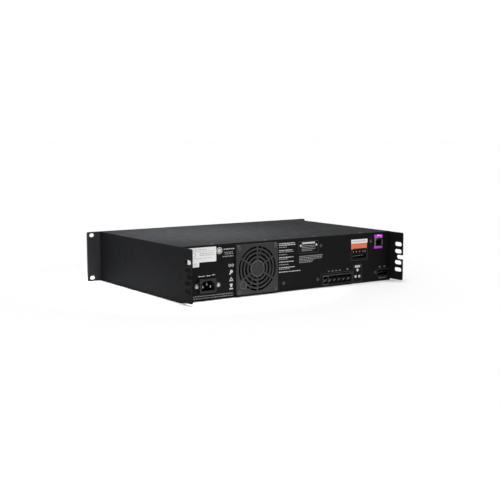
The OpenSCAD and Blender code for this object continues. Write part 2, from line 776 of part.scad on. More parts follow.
module control_port_pins() color([0.8, 0.8, 0.75]) {
    header_pins(aux_x, aux_z, aux_ways, aux_pitch, input_depth, small_pin, 6);
    for (x = way_points(aux_x, aux_ways, aux_pitch))
        block([x - small_pin / 2, y_rear - input_depth - 6, board_top],
              [x + small_pin / 2, y_rear - input_depth - 6 + small_pin, aux_z]);
}

// Film stuck on the rear panel between two opposite corners, each given as [across, up]
module film(a, b) along_y(y_rear, y_rear + label_t) translate(a) square(b - a);

module rating_label() color([0.95, 0.95, 0.95]) {
    film(rating_a, rating_b);
    film([rating_b[0] - rating_tab_w, rating_a[1] - rating_tab_h], [rating_b[0], rating_a[1] + 0.4]);
}

module port_labels() {
    color([0.95, 0.95, 0.95])
        film([input_film_x[0] - 1, input_film_z[1]], [input_film_x[1], input_film_z[2]]);
    color([0.88, 0.42, 0.29])
        film([input_film_x[0], input_film_z[0]], [input_film_x[1], input_film_z[1]]);
    color([0.78, 0.16, 0.9]) for (z = jack_film_z) film([jack_film_x[0], z[0]], [jack_film_x[1], z[1]]);
}

// ---------------------------------------------------------------- inside

module board(b) block([b[0], b[2], board_z], [b[1], b[3], board_top]);

// Four corners of a board, moved inwards
function corners(b, inset) =
    [for (x = [b[0] + inset, b[1] - inset], y = [b[2] + inset, b[3] - inset]) [x, y]];

module board_holes(b)
    for (p = corners(b, board_inset))
        translate([p[0], p[1], board_z - 1]) cylinder(r = board_hole_r, h = board_t + 2);

module power_supply_board() color([0.1, 0.35, 0.15]) difference() {
    board(psu_box);
    board_holes(psu_box);
}

// Something that stands on the boards: its middle, and its size
module on_board(at, size)
    translate([at[0] - size[0] / 2, at[1] - size[1] / 2, board_top]) cube(size);

// Wound ring that lies on the boards
module toroid(at, r, wire_r)
    translate([at[0], at[1], board_top]) rotate_extrude() translate([r, wire_r + toroid_lift]) circle(wire_r);

module mains_filter() color([0.2, 0.2, 0.22]) {
    toroid(choke_at, choke_r, choke_wire_r);
    for (p = x_cap_at) on_board(p, x_cap);
    on_board([inlet_x, psu_box[3] - 2 - inlet_block[1] / 2],
             [inlet_block[0], inlet_block[1], inlet_z + 6 - board_top]);
}

module bulk_capacitors() color([0.1, 0.12, 0.3])
    for (x = bulk_x, y = bulk_y) translate([x, y, board_top]) cylinder(r = bulk_r, h = bulk_h);

module transformer_core() color([0.25, 0.25, 0.27]) difference() {
    on_board(transformer_at, core_size);
    for (x = [-1, 1])
        translate([transformer_at[0] + x * core_window_x, transformer_at[1], board_top + core_size[2] / 2])
            cube([core_window[0], core_size[1] + 8, core_window[1]], center = true);
}

module transformer_windings() color([0.8, 0.65, 0.2])
    translate([transformer_at[0], transformer_at[1], board_top + (core_size[2] - core_window[1]) / 2])
        difference() {
            cylinder(r = winding_r, h = core_window[1]);
            translate([0, 0, -1]) cube([winding_core_w, core_size[1], 60], center = true);
            for (x = [-1, 1]) translate([x * (core_window_x + core_window[0] / 2 + 10), 0, 0])
                cube([20, 60, 60], center = true);
        }

// Finned heatsink standing on a board, fins along the air stream
module heatsink(x, y0, y1, w) {
    block([x - w / 2, y0, board_top], [x + w / 2, y1, board_top + sink_base_h]);
    for (i = [0:fin_count - 1])
        translate([x - w / 2 + i * (w - fin_t) / (fin_count - 1), y0, board_top + sink_base_h - 1])
            cube([fin_t, y1 - y0, sink_h - sink_base_h + 1]);
}

module heatsinks() color([0.65, 0.65, 0.67])
    for (x = [fan_x, fan_x - sink_gap - sink_w]) heatsink(x, sink_y[0], sink_y[1], sink_w);

// Two rows, each flat against one of the heatsinks
module power_transistors() color([0.08, 0.08, 0.08])
    for (x = [fan_x - sink_w / 2 - transistor[0], fan_x - sink_w / 2 - sink_gap], y = transistor_y)
        translate([x, y, board_top]) cube(transistor);

module amplifier_board() color([0.1, 0.35, 0.15]) difference() {
    union() {
        board(amp_box);
        board([amp_box[0], fan_x - fan_size / 2 - 7, amp_box[3] - 1, signal_box[3]]);
    }
    board_holes(amp_box);
}

module output_inductors() color([0.75, 0.4, 0.2])
    for (x = inductor_x, y = inductor_y) toroid([x, y], inductor_r, inductor_wire_r);

module film_capacitors() color([0.8, 0.2, 0.15])
    for (x = film_cap_x, y = film_cap_y) translate([x, y, board_top]) cube(film_cap);

module signal_board() color([0.1, 0.35, 0.15]) difference() {
    board(signal_box);
    board_holes(signal_box);
}

module processor_chips() color([0.08, 0.08, 0.08]) {
    for (i = [0, 1]) translate([processor_at[i][0], processor_at[i][1], board_top]) cube(processor_size[i]);
    for (x = converter_x) translate([x, converter_y, board_top]) cube(converter_size);
}

module port_board() color([0.1, 0.35, 0.15])
    block([port_board_box[0], y_rear - jack_depth - board_t, port_board_box[2]],
          [port_board_box[1], y_rear - jack_depth, port_board_box[3]]);

module standoffs() color([0.75, 0.75, 0.75]) {
    for (b = [psu_box, amp_box, signal_box], p = corners(b, board_inset))
        translate([p[0], p[1], sheet]) difference() {
            cylinder(r = 3, h = standoff_h);
            translate([0, 0, 2]) cylinder(r = m3_r, h = standoff_h);
        }
    for (x = [-1, 1], z = [-1, 1])
        translate([control_x + x * panel_standoff_x, y_ear, mid_z + z * (front_board_half_h - 2.5)])
            face_rear() cylinder(r = 2.5, h = front_board_y - y_ear);
}

module board_screws() color([0.7, 0.7, 0.7])
    for (b = [psu_box, amp_box, signal_box], p = corners(b, board_inset))
        translate([p[0], p[1], board_top]) screw(m3_r, m3_head_r, m3_head_h, board_t + 5);

// Wire bridge: a half ring that stands on two boards
module wire_bridge(x, y, r, wire_r)
    translate([x, y, board_top]) rotate([90, 0, 0])
        rotate_extrude(angle = 180) translate([r, 0]) circle(wire_r);

module wiring() {
    color([0.7, 0.1, 0.1]) for (i = [0:3]) wire_bridge(115, 20 + i * 5, 8, 1.5);
    color([0.85, 0.85, 0.85]) for (i = [0:9]) wire_bridge(-115, -100 + i * 1.6, 9, 0.6);
    color([0.2, 0.2, 0.6]) for (p = inlet_pin_points())
        translate([p[0], y_rear - inlet_depth - 8, p[1]]) face_front()
            cylinder(r = 1.6, h = y_rear - inlet_depth - 8 - (psu_box[3] - 2));
}

front_panel();
front_bezel();
intake_grille();
dust_filter();
display_lens();
display_module();
indicator_lights();
previous_key();
next_key();
menu_key();
exit_key();
power_button();
front_board();
key_switches();
front_panel_screws();
bezel_screws();
bottom_pan();
right_side_panel();
left_side_panel();
rear_panel();
top_cover();
top_cover_screws();
rear_panel_screws();
clinch_nuts();
fan_guard();
fan_frame();
fan_stator();
fan_bearing();
fan_impeller();
fan_shaft();
fan_screws();
mains_inlet();
mains_inlet_pins();
mains_inlet_screws();
network_jack();
network_jack_contacts();
input_header();
input_header_pins();
output_header();
output_header_pins();
control_port();
control_port_pins();
rating_label();
port_labels();
power_supply_board();
mains_filter();
bulk_capacitors();
transformer_core();
transformer_windings();
heatsinks();
power_transistors();
amplifier_board();
output_inductors();
film_capacitors();
signal_board();
processor_chips();
port_board();
standoffs();
board_screws();
wiring();
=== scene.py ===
import json
import math
import random

import bmesh
import bpy
from mathutils import Matrix, Vector


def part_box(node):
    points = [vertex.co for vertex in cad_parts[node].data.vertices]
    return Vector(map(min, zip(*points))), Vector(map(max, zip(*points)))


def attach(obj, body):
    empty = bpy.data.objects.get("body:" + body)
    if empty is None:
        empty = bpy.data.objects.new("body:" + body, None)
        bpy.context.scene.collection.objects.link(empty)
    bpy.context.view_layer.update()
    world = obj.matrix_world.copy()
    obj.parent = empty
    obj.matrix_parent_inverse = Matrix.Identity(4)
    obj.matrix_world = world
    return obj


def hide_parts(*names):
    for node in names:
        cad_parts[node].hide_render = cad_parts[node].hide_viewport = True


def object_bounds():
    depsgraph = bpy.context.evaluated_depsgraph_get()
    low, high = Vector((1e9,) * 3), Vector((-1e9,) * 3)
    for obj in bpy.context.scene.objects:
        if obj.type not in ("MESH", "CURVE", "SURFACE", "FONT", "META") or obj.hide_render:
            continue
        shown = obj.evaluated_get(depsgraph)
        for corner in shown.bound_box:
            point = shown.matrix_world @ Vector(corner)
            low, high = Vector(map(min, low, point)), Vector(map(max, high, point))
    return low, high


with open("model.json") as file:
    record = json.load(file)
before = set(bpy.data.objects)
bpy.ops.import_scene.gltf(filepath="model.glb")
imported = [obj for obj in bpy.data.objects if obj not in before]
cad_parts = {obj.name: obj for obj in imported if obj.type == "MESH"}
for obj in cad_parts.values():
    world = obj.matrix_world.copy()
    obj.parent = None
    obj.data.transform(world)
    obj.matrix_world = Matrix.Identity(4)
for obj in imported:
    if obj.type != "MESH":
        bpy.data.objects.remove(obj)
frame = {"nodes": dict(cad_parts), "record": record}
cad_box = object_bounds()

MM = 0.001
CHASSIS = "chassis"

# Planes that the printed marks and the small pieces lie on, the depth of the bezel's sunk field under the
# display and the keys, and how far a printed mark stands out of its plane and reaches into it
REAR_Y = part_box("rear_panel")[1].y
FRONT_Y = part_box("front_bezel")[0].y
BEZEL_STEP = 2 * MM
GUARD_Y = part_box("fan_guard")[1].y
MARK_TOP = 0.05 * MM
MARK_ROOT = 0.03 * MM


# ---------------------------------------------------------------- materials

class Finish:
    """A Principled material with the procedural layers that the finishes share. Sizes are in millimetres."""

    def __init__(self, name, colour, roughness, metallic=0.0):
        self.material = bpy.data.materials.new(name)
        self.material.use_nodes = True
        self.tree = self.material.node_tree
        self.bsdf = self.tree.nodes["Principled BSDF"]
        self.colour = colour
        self.place = self.add("ShaderNodeTexCoord").outputs["Object"]
        self.bsdf.inputs["Base Color"].default_value = (*colour, 1)
        self.bsdf.inputs["Roughness"].default_value = roughness
        self.bsdf.inputs["Metallic"].default_value = metallic

    def add(self, kind, **values):
        node = self.tree.nodes.new(kind)
        for key, value in values.items():
            setattr(node, key, value)
        return node

    def link(self, start, end):
        self.tree.links.new(start, end)

    def noise(self, size, detail=3.0, stretch=(1, 1, 1)):
        """Noise whose blobs are about size across; stretch divides the size along each axis."""
        scale = self.add("ShaderNodeMapping")
        scale.inputs["Scale"].default_value = stretch
        self.link(self.place, scale.inputs["Vector"])
        noise = self.add("ShaderNodeTexNoise")
        noise.inputs["Scale"].default_value = 1 / (size * MM)
        noise.inputs["Detail"].default_value = detail
        self.link(scale.outputs["Vector"], noise.inputs["Vector"])
        return noise.outputs["Fac"]

    def spread(self, value, low, high, start=0.3, stop=0.7):
        """Maps value from start..stop to low..high."""
        spread = self.add("ShaderNodeMapRange")
        for key, number in (("From Min", start), ("From Max", stop), ("To Min", low), ("To Max", high)):
            spread.inputs[key].default_value = number
        self.link(value, spread.inputs["Value"])
        return spread.outputs["Result"]

    def blend(self, mask, low, high):
        """Mixes two colours, or a colour and a colour output, by mask."""
        mix = self.add("ShaderNodeMix", data_type="RGBA")
        for socket, colour in ((mix.inputs[6], low), (mix.inputs[7], high)):
            if isinstance(colour, bpy.types.NodeSocket):
                self.link(colour, socket)
            else:
                socket.default_value = (*colour, 1)
        self.link(mask, mix.inputs[0])
        return mix.outputs[2]

    def shade(self, factor):
        return tuple(min(1.0, part * factor) for part in self.colour)

    def mottle(self, size, low=0.85, high=1.15):
        """Varies the colour in soft patches."""
        mottled = self.blend(self.spread(self.noise(size), 0, 1), self.shade(low), self.shade(high))
        self.link(mottled, self.bsdf.inputs["Base Color"])
        return mottled

    def worn_and_highlit_edges(self, base, radius, lift):
        """Lightens the outer edges: partly wear, where a coat is thin and gets worn, and partly a painted
        highlight where edges catch the light.
        """
        soft = self.add("ShaderNodeBevel", samples=4)
        soft.inputs["Radius"].default_value = radius * MM
        geometry = self.add("ShaderNodeNewGeometry")
        dot = self.add("ShaderNodeVectorMath", operation="DOT_PRODUCT")
        self.link(soft.outputs["Normal"], dot.inputs[0])
        self.link(geometry.outputs["Normal"], dot.inputs[1])
        # Edge mask: the lighter edges stand partly for wear and partly for a painted highlight where edges
        # catch the light
        edge = self.spread(dot.outputs["Value"], 1, 0, 0.8, 0.995)
        wear_and_highlight = self.add("ShaderNodeMath", operation="MULTIPLY")
        self.link(edge, wear_and_highlight.inputs[0])
        self.link(self.spread(self.noise(4), 0.2, 1), wear_and_highlight.inputs[1])
        self.link(self.blend(wear_and_highlight.outputs["Value"], base, self.shade(lift)), self.bsdf.inputs["Base Color"])

    def uneven_gloss(self, size, low, high, stretch=(1, 1, 1)):
        self.link(self.spread(self.noise(size, 4, stretch), low, high), self.bsdf.inputs["Roughness"])

    def grain(self, size, height, strength=1.0, detail=2.0, stretch=(1, 1, 1)):
        bump = self.add("ShaderNodeBump")
        bump.inputs["Distance"].default_value = height * MM
        bump.inputs["Strength"].default_value = strength
        self.link(self.noise(size, detail, stretch), bump.inputs["Height"])
        self.link(bump.outputs["Normal"], self.bsdf.inputs["Normal"])

    def set(self, **values):
        for key, value in values.items():
            self.bsdf.inputs[key.replace("_", " ")].default_value = value


def powder_coat(name, colour, grain=0.7, height=0.05, lift=1.5, gloss=0.02):
    """Textured powder coat on sheet metal: fine wrinkle, soft patches, slightly worn edges that are also
    lightened as a painted highlight.
    """
    coat = Finish(name, colour, 0.55)
    patches = coat.mottle(60, 0.96, 1.04)
    coat.worn_and_highlit_edges(patches, 0.8, lift)
    coat.uneven_gloss(12, 0.5, 0.6)
    coat.grain(grain, height, 0.7)
    coat.set(Specular_IOR_Level=gloss)
    return coat.material


def moulding(name, colour, roughness=0.5, grain=0.35, gloss=0.3, lift=1.5):
    """Moulded plastic with a spark-eroded texture; its edges are lift times as light as its faces, partly for
    wear and partly as a painted highlight.
    """
    plastic = Finish(name, colour, roughness)
    patches = plastic.mottle(15, 0.9, 1.12)
    plastic.worn_and_highlit_edges(patches, 0.5, lift)
    plastic.uneven_gloss(5, roughness - 0.08, roughness + 0.1)
    plastic.grain(grain, 0.02, 0.6)
    plastic.set(Specular_IOR_Level=gloss)
    return plastic.material


def plated(name, colour, roughness=0.3, stretch=(1, 1, 1)):
    """Plated metal with fine drawn scratches and cloudy patches."""
    metal = Finish(name, colour, roughness, metallic=1.0)
    metal.mottle(3, 0.85, 1.08)
    metal.uneven_gloss(0.8, roughness - 0.1, roughness + 0.15, stretch)
    metal.grain(0.5, 0.01, 0.4, 2, stretch)
    return metal.material


def ink(name, colour):
    """Screen-printed ink: a little patchy, a little raised."""
    print_ = Finish(name, colour, 0.6)
    print_.mottle(0.8, 0.8, 1.05)
    print_.uneven_gloss(1.5, 0.5, 0.7)
    print_.grain(0.3, 0.01, 0.3)
    return print_.material


def film(name, colour):
    """Printed self-adhesive film: satin, with faint handling marks."""
    sheet = Finish(name, colour, 0.4)
    sheet.mottle(6, 0.95, 1.02)
    sheet.uneven_gloss(4, 0.32, 0.5)
    sheet.grain(2.5, 0.02, 0.25)
    return sheet.material


def smoked(name, colour):
    """Glossy smoked window with a few dust specks and fine wipe marks."""
    pane = Finish(name, colour, 0.08)
    specks = pane.spread(pane.noise(0.8, 5), 0, 1, 0.66, 0.72)
    pane.link(pane.blend(specks, colour, (0.05, 0.05, 0.05)), pane.bsdf.inputs["Base Color"])
    pane.uneven_gloss(9, 0.05, 0.14, (1, 1, 6))
    pane.set(Coat_Weight=0.5, Coat_Roughness=0.05)
    return pane.material


def clear_tip(name, colour):
    """Tinted translucent plastic of a light pipe that is off."""
    tip = Finish(name, colour, 0.25)
    tip.mottle(1.2, 0.8, 1.1)
    tip.uneven_gloss(1, 0.2, 0.32)
    tip.set(Subsurface_Weight=0.4, Coat_Weight=0.3)
    tip.bsdf.inputs["Subsurface Radius"].default_value = (0.001, 0.001, 0.001)
    return tip.material


def foam_finish(name, colour):
    """Open-cell foam: deep cellular relief, with painted shade that darkens the colour where the relief is
    deepest.
    """
    foam = Finish(name, colour, 0.95)
    cells = foam.add("ShaderNodeTexVoronoi")
    cells.inputs["Scale"].default_value = 1 / (1.4 * MM)
    foam.link(foam.place, cells.inputs["Vector"])
    # Painted shade: the colour runs from 2.2 times the base where the relief is highest to 0.3 times where it
    # is deepest
    depth = foam.spread(cells.outputs["Distance"], 0, 1, 0, 0.7)
    foam.link(foam.blend(depth, foam.shade(2.2), foam.shade(0.3)), foam.bsdf.inputs["Base Color"])
    bump = foam.add("ShaderNodeBump", invert=True)
    bump.inputs["Distance"].default_value = 0.8 * MM
    foam.link(cells.outputs["Distance"], bump.inputs["Height"])
    foam.link(bump.outputs["Normal"], foam.bsdf.inputs["Normal"])
    return foam.material


def laminate(name, colour):
    """Solder-masked circuit board with a faint weave."""
    board = Finish(name, colour, 0.35)
    board.mottle(5, 0.7, 1.2)
    board.uneven_gloss(2, 0.28, 0.45)
    board.grain(0.4, 0.02, 0.4, 1, (1, 4, 1))
    return board.material


def plain_floor(name):
    floor = Finish(name, (0.8, 0.8, 0.8), 0.8)
    floor.mottle(400, 0.985, 1.0)
    floor.grain(3, 0.05, 0.1)
    return floor.material


# Each finish's lift lightens its edges, partly for wear and partly as a painted highlight; the guard's 3.2 is
# mostly painted highlight on its rings
FINISHES = {
    "front_panel": powder_coat("front_panel_coat", (0.023, 0.0235, 0.0262), gloss=0.2),
    "bezel_plastic": moulding("bezel_moulding", (0.022, 0.022, 0.024)),
    "case_coat": powder_coat("case_coat", (0.011, 0.0114, 0.0126), height=0.03, lift=2.6),
    "rear_coat": powder_coat("rear_coat", (0.005, 0.0052, 0.0052), lift=2.0, gloss=0.08),
    "guard_plastic": moulding("guard_moulding", (0.021, 0.021, 0.0225), 0.42, gloss=0.3, lift=3.2),
    "fan_plastic": moulding("fan_moulding", (0.02, 0.02, 0.021), 0.4),
    "foam": foam_finish("filter_foam", (0.012, 0.012, 0.012)),
    "lens": smoked("display_window", (0.006, 0.007, 0.008)),
    "display": laminate("display_module", (0.05, 0.1, 0.12)),
    "light_pipe": clear_tip("light_pipe", (0.5, 0.52, 0.5)),
    "key_plastic": moulding("key_moulding", (0.07, 0.07, 0.075), 0.45),
    "power_key_plastic": moulding("power_button_moulding", (0.1, 0.1, 0.105), 0.4),
    "dark_screw": plated("black_oxide", (0.1, 0.1, 0.103), 0.48),
    "zinc_screw": plated("zinc_plate", (0.55, 0.55, 0.56), 0.3),
    "inlet_plastic": moulding("inlet_moulding", (0.012, 0.012, 0.013), 0.42, gloss=0.3),
    "contact_brass": plated("nickel_brass", (0.3, 0.295, 0.27), 0.28),
    "header_plastic": moulding("header_moulding", (0.007, 0.007, 0.007), 0.45, gloss=0.1),
    "tinned_pin": plated("tin_plate", (0.7, 0.7, 0.68), 0.25),
    "jack_metal": plated("jack_shell", (0.55, 0.55, 0.56), 0.3, (1, 1, 8)),
    "label_white": film("white_film", (0.82, 0.82, 0.82)),
    "label_colour": film("orange_film", (0.78, 0.15, 0.065)),
    "board_green": laminate("board", (0.02, 0.09, 0.04)),
    "aluminium": plated("extruded_aluminium", (0.6, 0.6, 0.62), 0.35, (1, 0.1, 1)),
    "black_component": moulding("black_epoxy", (0.02, 0.02, 0.02), 0.5),
    "capacitor_sleeve": film("capacitor_sleeve", (0.02, 0.03, 0.1)),
    "ferrite": moulding("ferrite", (0.05, 0.05, 0.055), 0.6, 0.2),
    "copper_wire": plated("enamelled_copper", (0.6, 0.25, 0.1), 0.3, (1, 1, 6)),
    "film_red": film("film_capacitor", (0.45, 0.03, 0.02)),
    "bearing_bronze": plated("bronze", (0.55, 0.4, 0.2), 0.35),
    "wire_insulation": moulding("wire_insulation", (0.15, 0.02, 0.02), 0.45),
    "shaft_steel": plated("ground_steel", (0.6, 0.6, 0.62), 0.2, (1, 8, 1)),
}
WHITE_INK = ink("white_ink", (0.6, 0.6, 0.6))
GREY_INK = ink("grey_ink", (0.2, 0.2, 0.2))
SOFT_INK = ink("soft_ink", (0.32, 0.32, 0.32))
FAINT_INK = ink("faint_ink", (0.07, 0.07, 0.07))
LABEL_INK = ink("label_ink", (0.45, 0.45, 0.45))
# Painted highlight: the guard's rims are a lighter, glossier copy of the guard's plastic, so that they show
# glints
GUARD_RIM_HIGHLIGHT = moulding("guard_rim", (0.055, 0.055, 0.058), 0.24, gloss=0.8, lift=2.5)
MAGENTA_FILM = film("magenta_film", (0.62, 0.02, 0.85))
LAMP_GREEN = clear_tip("green_lamp", (0.05, 0.3, 0.08))
LAMP_AMBER = clear_tip("amber_lamp", (0.5, 0.3, 0.04))
LAMP_RED = clear_tip("red_lamp", (0.4, 0.03, 0.02))
LAMP_OFF = clear_tip("jack_lamp", (0.06, 0.06, 0.05))


# ---------------------------------------------------------------- building blocks

def link_object(name, mesh):
    piece = bpy.data.objects.new(name, mesh)
    bpy.context.scene.collection.objects.link(piece)
    return piece


def as_piece(name, bm, material, body=CHASSIS, replaces=()):
    """Turns a bmesh into a piece that rides on a body and takes a material."""
    mesh = bpy.data.meshes.new(name)
    bmesh.ops.recalc_face_normals(bm, faces=bm.faces)
    bm.to_mesh(mesh)
    bm.free()
    mesh.materials.append(material)
    piece = link_object(name, mesh)
    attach(piece, body)
    if replaces:
        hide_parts(*replaces)
    return piece


def round_edges(piece, width, segments=3, angle=30):
    """Smooth shading with rounded edges of that width in millimetres."""
    piece.data.polygons.foreach_set("use_smooth", [True] * len(piece.data.polygons))
    edge = piece.modifiers.new("round_edges", "BEVEL")
    edge.width = width * MM
    edge.segments = segments
    edge.limit_method = "ANGLE"
    edge.angle_limit = math.radians(angle)
    edge.use_clamp_overlap = True
    even = piece.modifiers.new("even_shading", "WEIGHTED_NORMAL")
    even.mode = "FACE_AREA"
    even.weight = 100


def rounded_part(node, width, material=None, segments=3):
    """A copy of a CAD part with its flat faces whole and its edges rounded, which stands for that part."""
    source = frame["nodes"][node]
    bm = bmesh.new()
    bm.from_mesh(source.data)
    bmesh.ops.remove_doubles(bm, verts=bm.verts, dist=0.002 * MM)
    bmesh.ops.dissolve_limit(bm, angle_limit=math.radians(0.5), verts=bm.verts, edges=bm.edges)
    slot = slot_of(node)
    piece = as_piece(f"{node}_part", bm, material or FINISHES[slot], body_of_node(node), [node])
    round_edges(piece, width, segments)
    return piece


def slot_of(node):
    """Name of a CAD part's material slot."""
    return next(row["material_slot"] for row in frame["record"]["subparts"] if row["node"] == node)


def body_of_node(node):
    """Name of the body that a CAD part belongs to."""
    bodies = frame["record"]["behaviour"]["bodies"]
    return next(body for body, nodes in bodies.items() if node in nodes)


def add_box(bm, low, high):
    """Adds a closed box between two opposite corners."""
    verts = [bm.verts.new((x, y, z)) for x in (low[0], high[0]) for y in (low[1], high[1])
             for z in (low[2], high[2])]
    for face in ((0, 1, 3, 2), (4, 6, 7, 5), (0, 4, 5, 1), (2, 3, 7, 6), (0, 2, 6, 4), (1, 5, 7, 3)):
        bm.faces.new([verts[i] for i in face])


def add_prism(bm, outline, y0, y1):
    """Adds a closed solid: an outline of (x, z) points, extruded from y0 to y1."""
    near = [bm.verts.new((x, y0, z)) for x, z in outline]
    far = [bm.verts.new((x, y1, z)) for x, z in outline]
    bm.faces.new(near)
    bm.faces.new(list(reversed(far)))
    for i in range(len(outline)):
        j = (i + 1) % len(outline)
        bm.faces.new((near[i], near[j], far[j], far[i]))


def arc(x, z, radius, start=0.0, stop=360.0, steps=32):
    """Points on an arc in the panel's plane; a full turn doesn't repeat its first point."""
    whole = abs(stop - start) >= 360
    count = steps if whole else steps + 1
    turns = [math.radians(start + (stop - start) * i / steps) for i in range(count)]
    return [(x + radius * math.cos(t), z + radius * math.sin(t)) for t in turns]


def round_outline(x0, x1, z0, z1, radius, steps=8):
    """Rectangle with round corners."""
    corners = ((x1 - radius, z0 + radius, -90), (x1 - radius, z1 - radius, 0),
               (x0 + radius, z1 - radius, 90), (x0 + radius, z0 + radius, 180))
    return [p for x, z, a in corners for p in arc(x, z, radius, a, a + 90, steps)]


def add_band(bm, outer, inner, y0, y1):
    """Adds a closed frame between two outlines with the same number of points."""
    rings = [[bm.verts.new((x, y, z)) for x, z in line] for line, y in
             ((outer, y0), (outer, y1), (inner, y1), (inner, y0))]
    count = len(outer)
    for a, b in zip(rings, rings[1:] + rings[:1]):
        for i in range(count):
            j = (i + 1) % count
            bm.faces.new((a[i], a[j], b[j], b[i]))


def frame_mark(bm, x0, x1, z0, z1, radius, line, y0, y1):
    """Adds the outline of a rounded rectangle, line wide."""
    add_band(bm, round_outline(x0, x1, z0, z1, radius),
             round_outline(x0 + line, x1 - line, z0 + line, z1 - line, max(radius - line, 0.05 * MM)), y0, y1)


def in_mm(*values):
    return [value * MM for value in values]


# ---------------------------------------------------------------- printed marks on the rear panel

REAR_MARK = (REAR_Y - MARK_ROOT, REAR_Y + MARK_TOP)


def text_row(bm, rng, left, right, z, height, y=REAR_MARK):
    """Dashes of uneven length, which stand for a line of small print, from left (+X) to right, in mm."""
    x = left
    while x > right:
        word = min(rng.uniform(1.4, 5.0), x - right)
        if word > 0.6:
            low = ((x - word) * MM, y[0], (z - height / 2) * MM)
            high = (x * MM, y[1], (z + height / 2) * MM)
            add_box(bm, low, high)
        x -= word + rng.uniform(0.6, 1.1)


def rear_print():
    """Small print as rows of dashes, in millimetres: (left, right, middle height, height of the dashes)."""
    headings = [(138, 118, 79.4, 1.5), (29.7, -3, 81, 1.5), (29.7, -3.5, 78.2, 1.5), (29.7, 2, 69.5, 1.4),
                (29.7, 0, 57.6, 1.4), (29.7, 0, 50.2, 1.4), (29.7, -3, 40.8, 1.4), (29.7, -14, 33.4, 1.3),
                (185, 173, 39.3, 1.5), (170, 162, 39.3, 1.5), (160, 154.6, 40.2, 1.5)]
    small = [(137, 121, 74.3, 1.3), (136, 120, 71.6, 1.0), (140, 119.5, 67.8, 1.6)]
    block = ((14, 74.8), (0, 66.8), (13, 62.4), (12, 54.8), (10, 45.6), (8, 38.2))
    small += [(29.7, right, z, 1.2) for right, z in block]
    paragraph = ((-62, 56.8), (-61, 54.2), (-60, 51.6), (-42, 49), (-40, 46.4))
    small += [(-12, right, z, 1.2) for right, z in paragraph]
    small += [(-17, -46, z, 1.1) for z in (74.2, 71.4, 68.6)] + [(-17, -40, 66, 1.1)]
    faint = [(195.6, 120, z, 1.5) for z in (4.2, 7.8)]
    faint += [(x + 2, x - 2, 26.6, 1.6) for x in (-76, -84, -92, -100)] + [(-115, -119, 27.4, 2.4)]
    faint += [(-190, -194, 25.5, 1.8), (-201, -206, 25.5, 1.8), (-190, -208, 5.4, 1.6)]
    rng = random.Random(11)
    prints = (("rear_headings", WHITE_INK, headings), ("rear_small_print", SOFT_INK, small),
              ("rear_faint_print", GREY_INK, faint))
    for name, material, rows in prints:
        print_ = bmesh.new()
        for left, right, z, height in rows:
            text_row(print_, rng, left, right, z, height)
        as_piece(name, print_, material)


def rear_symbols():
    """Plain rings, discs, squares and outlines where the panel carries its marks, in millimetres."""
    y0, y1 = REAR_MARK
    white = bmesh.new()
    add_band(white, arc(*in_mm(146, 77.7), 5.4 * MM), arc(*in_mm(146, 77.7), 4.3 * MM), y0, y1)
    add_prism(white, arc(*in_mm(146, 77.7), 3.4 * MM), y0, y1)
    for x in (121.2, 126.8):
        add_band(white, arc(*in_mm(x, 52.6), 2.3 * MM), arc(*in_mm(x, 52.6), 1.3 * MM), y0, y1)
    add_prism(white, arc(*in_mm(123.6, 42.6), 2.8 * MM), y0, y1)
    add_box(white, (125.2 * MM, y0, 37.6 * MM), (127.4 * MM, y1, 40.4 * MM))
    triangle = [arc(*in_mm(124, 29.6), radius * MM, 90, 450, 3) for radius in (4.6, 2.2)]
    add_band(white, *triangle, y0, y1)
    tapered = ((125.4, 17.4), (126.8, 23), (121.2, 23), (122.6, 17.4))
    add_prism(white, [in_mm(x, z) for x, z in tapered], y0, y1)
    add_prism(white, round_outline(*in_mm(120.5, 127.5, 13.8, 16), 0.6 * MM), y0, y1)
    add_prism(white, round_outline(*in_mm(-45, -18, 77.2, 80.2), 0.4 * MM), y0, y1)
    for x in (-15.2, -48.2):
        add_prism(white, arc(*in_mm(x, 74.8), 2.4 * MM, 0, 360, 4), y0, y1)
    add_prism(white, round_outline(*in_mm(-146, -134, 28.4, 32), 0.5 * MM), y0, y1)
    add_prism(white, arc(*in_mm(-140, 23.8), 3.2 * MM, 0, 360, 4), y0, y1)
    for x in (-135.8, -144.2):
        add_prism(white, arc(*in_mm(x, 12.5), 2.4 * MM), y0, y1)
    as_piece("rear_symbols", white, WHITE_INK)

    soft = bmesh.new()
    for x in (-130, -137, -144.5, -152, -157):
        add_prism(soft, round_outline(*in_mm(x - 0.9, x + 0.9, 55.4, 57.2), 0.4 * MM), y0, y1)
    as_piece("input_marks", soft, SOFT_INK)

    grey = bmesh.new()
    line = 0.4 * MM
    outlines = (((-52.5, -10.5, 61.8, 82.2), 2), ((-149.5, -130.5, 2.8, 33.4), 0.8),
                ((-162, -125, 41.2, 61.6), 0.8), ((-129, -58.5, 2.6, 23.4), 0.8),
                ((-213.4, -184.6, 8, 21.6), 0.8))
    for box, radius in outlines:
        frame_mark(grey, *in_mm(*box), radius * MM, line, y0, y1)
    as_piece("rear_outlines", grey, FAINT_INK)


# ---------------------------------------------------------------- labels

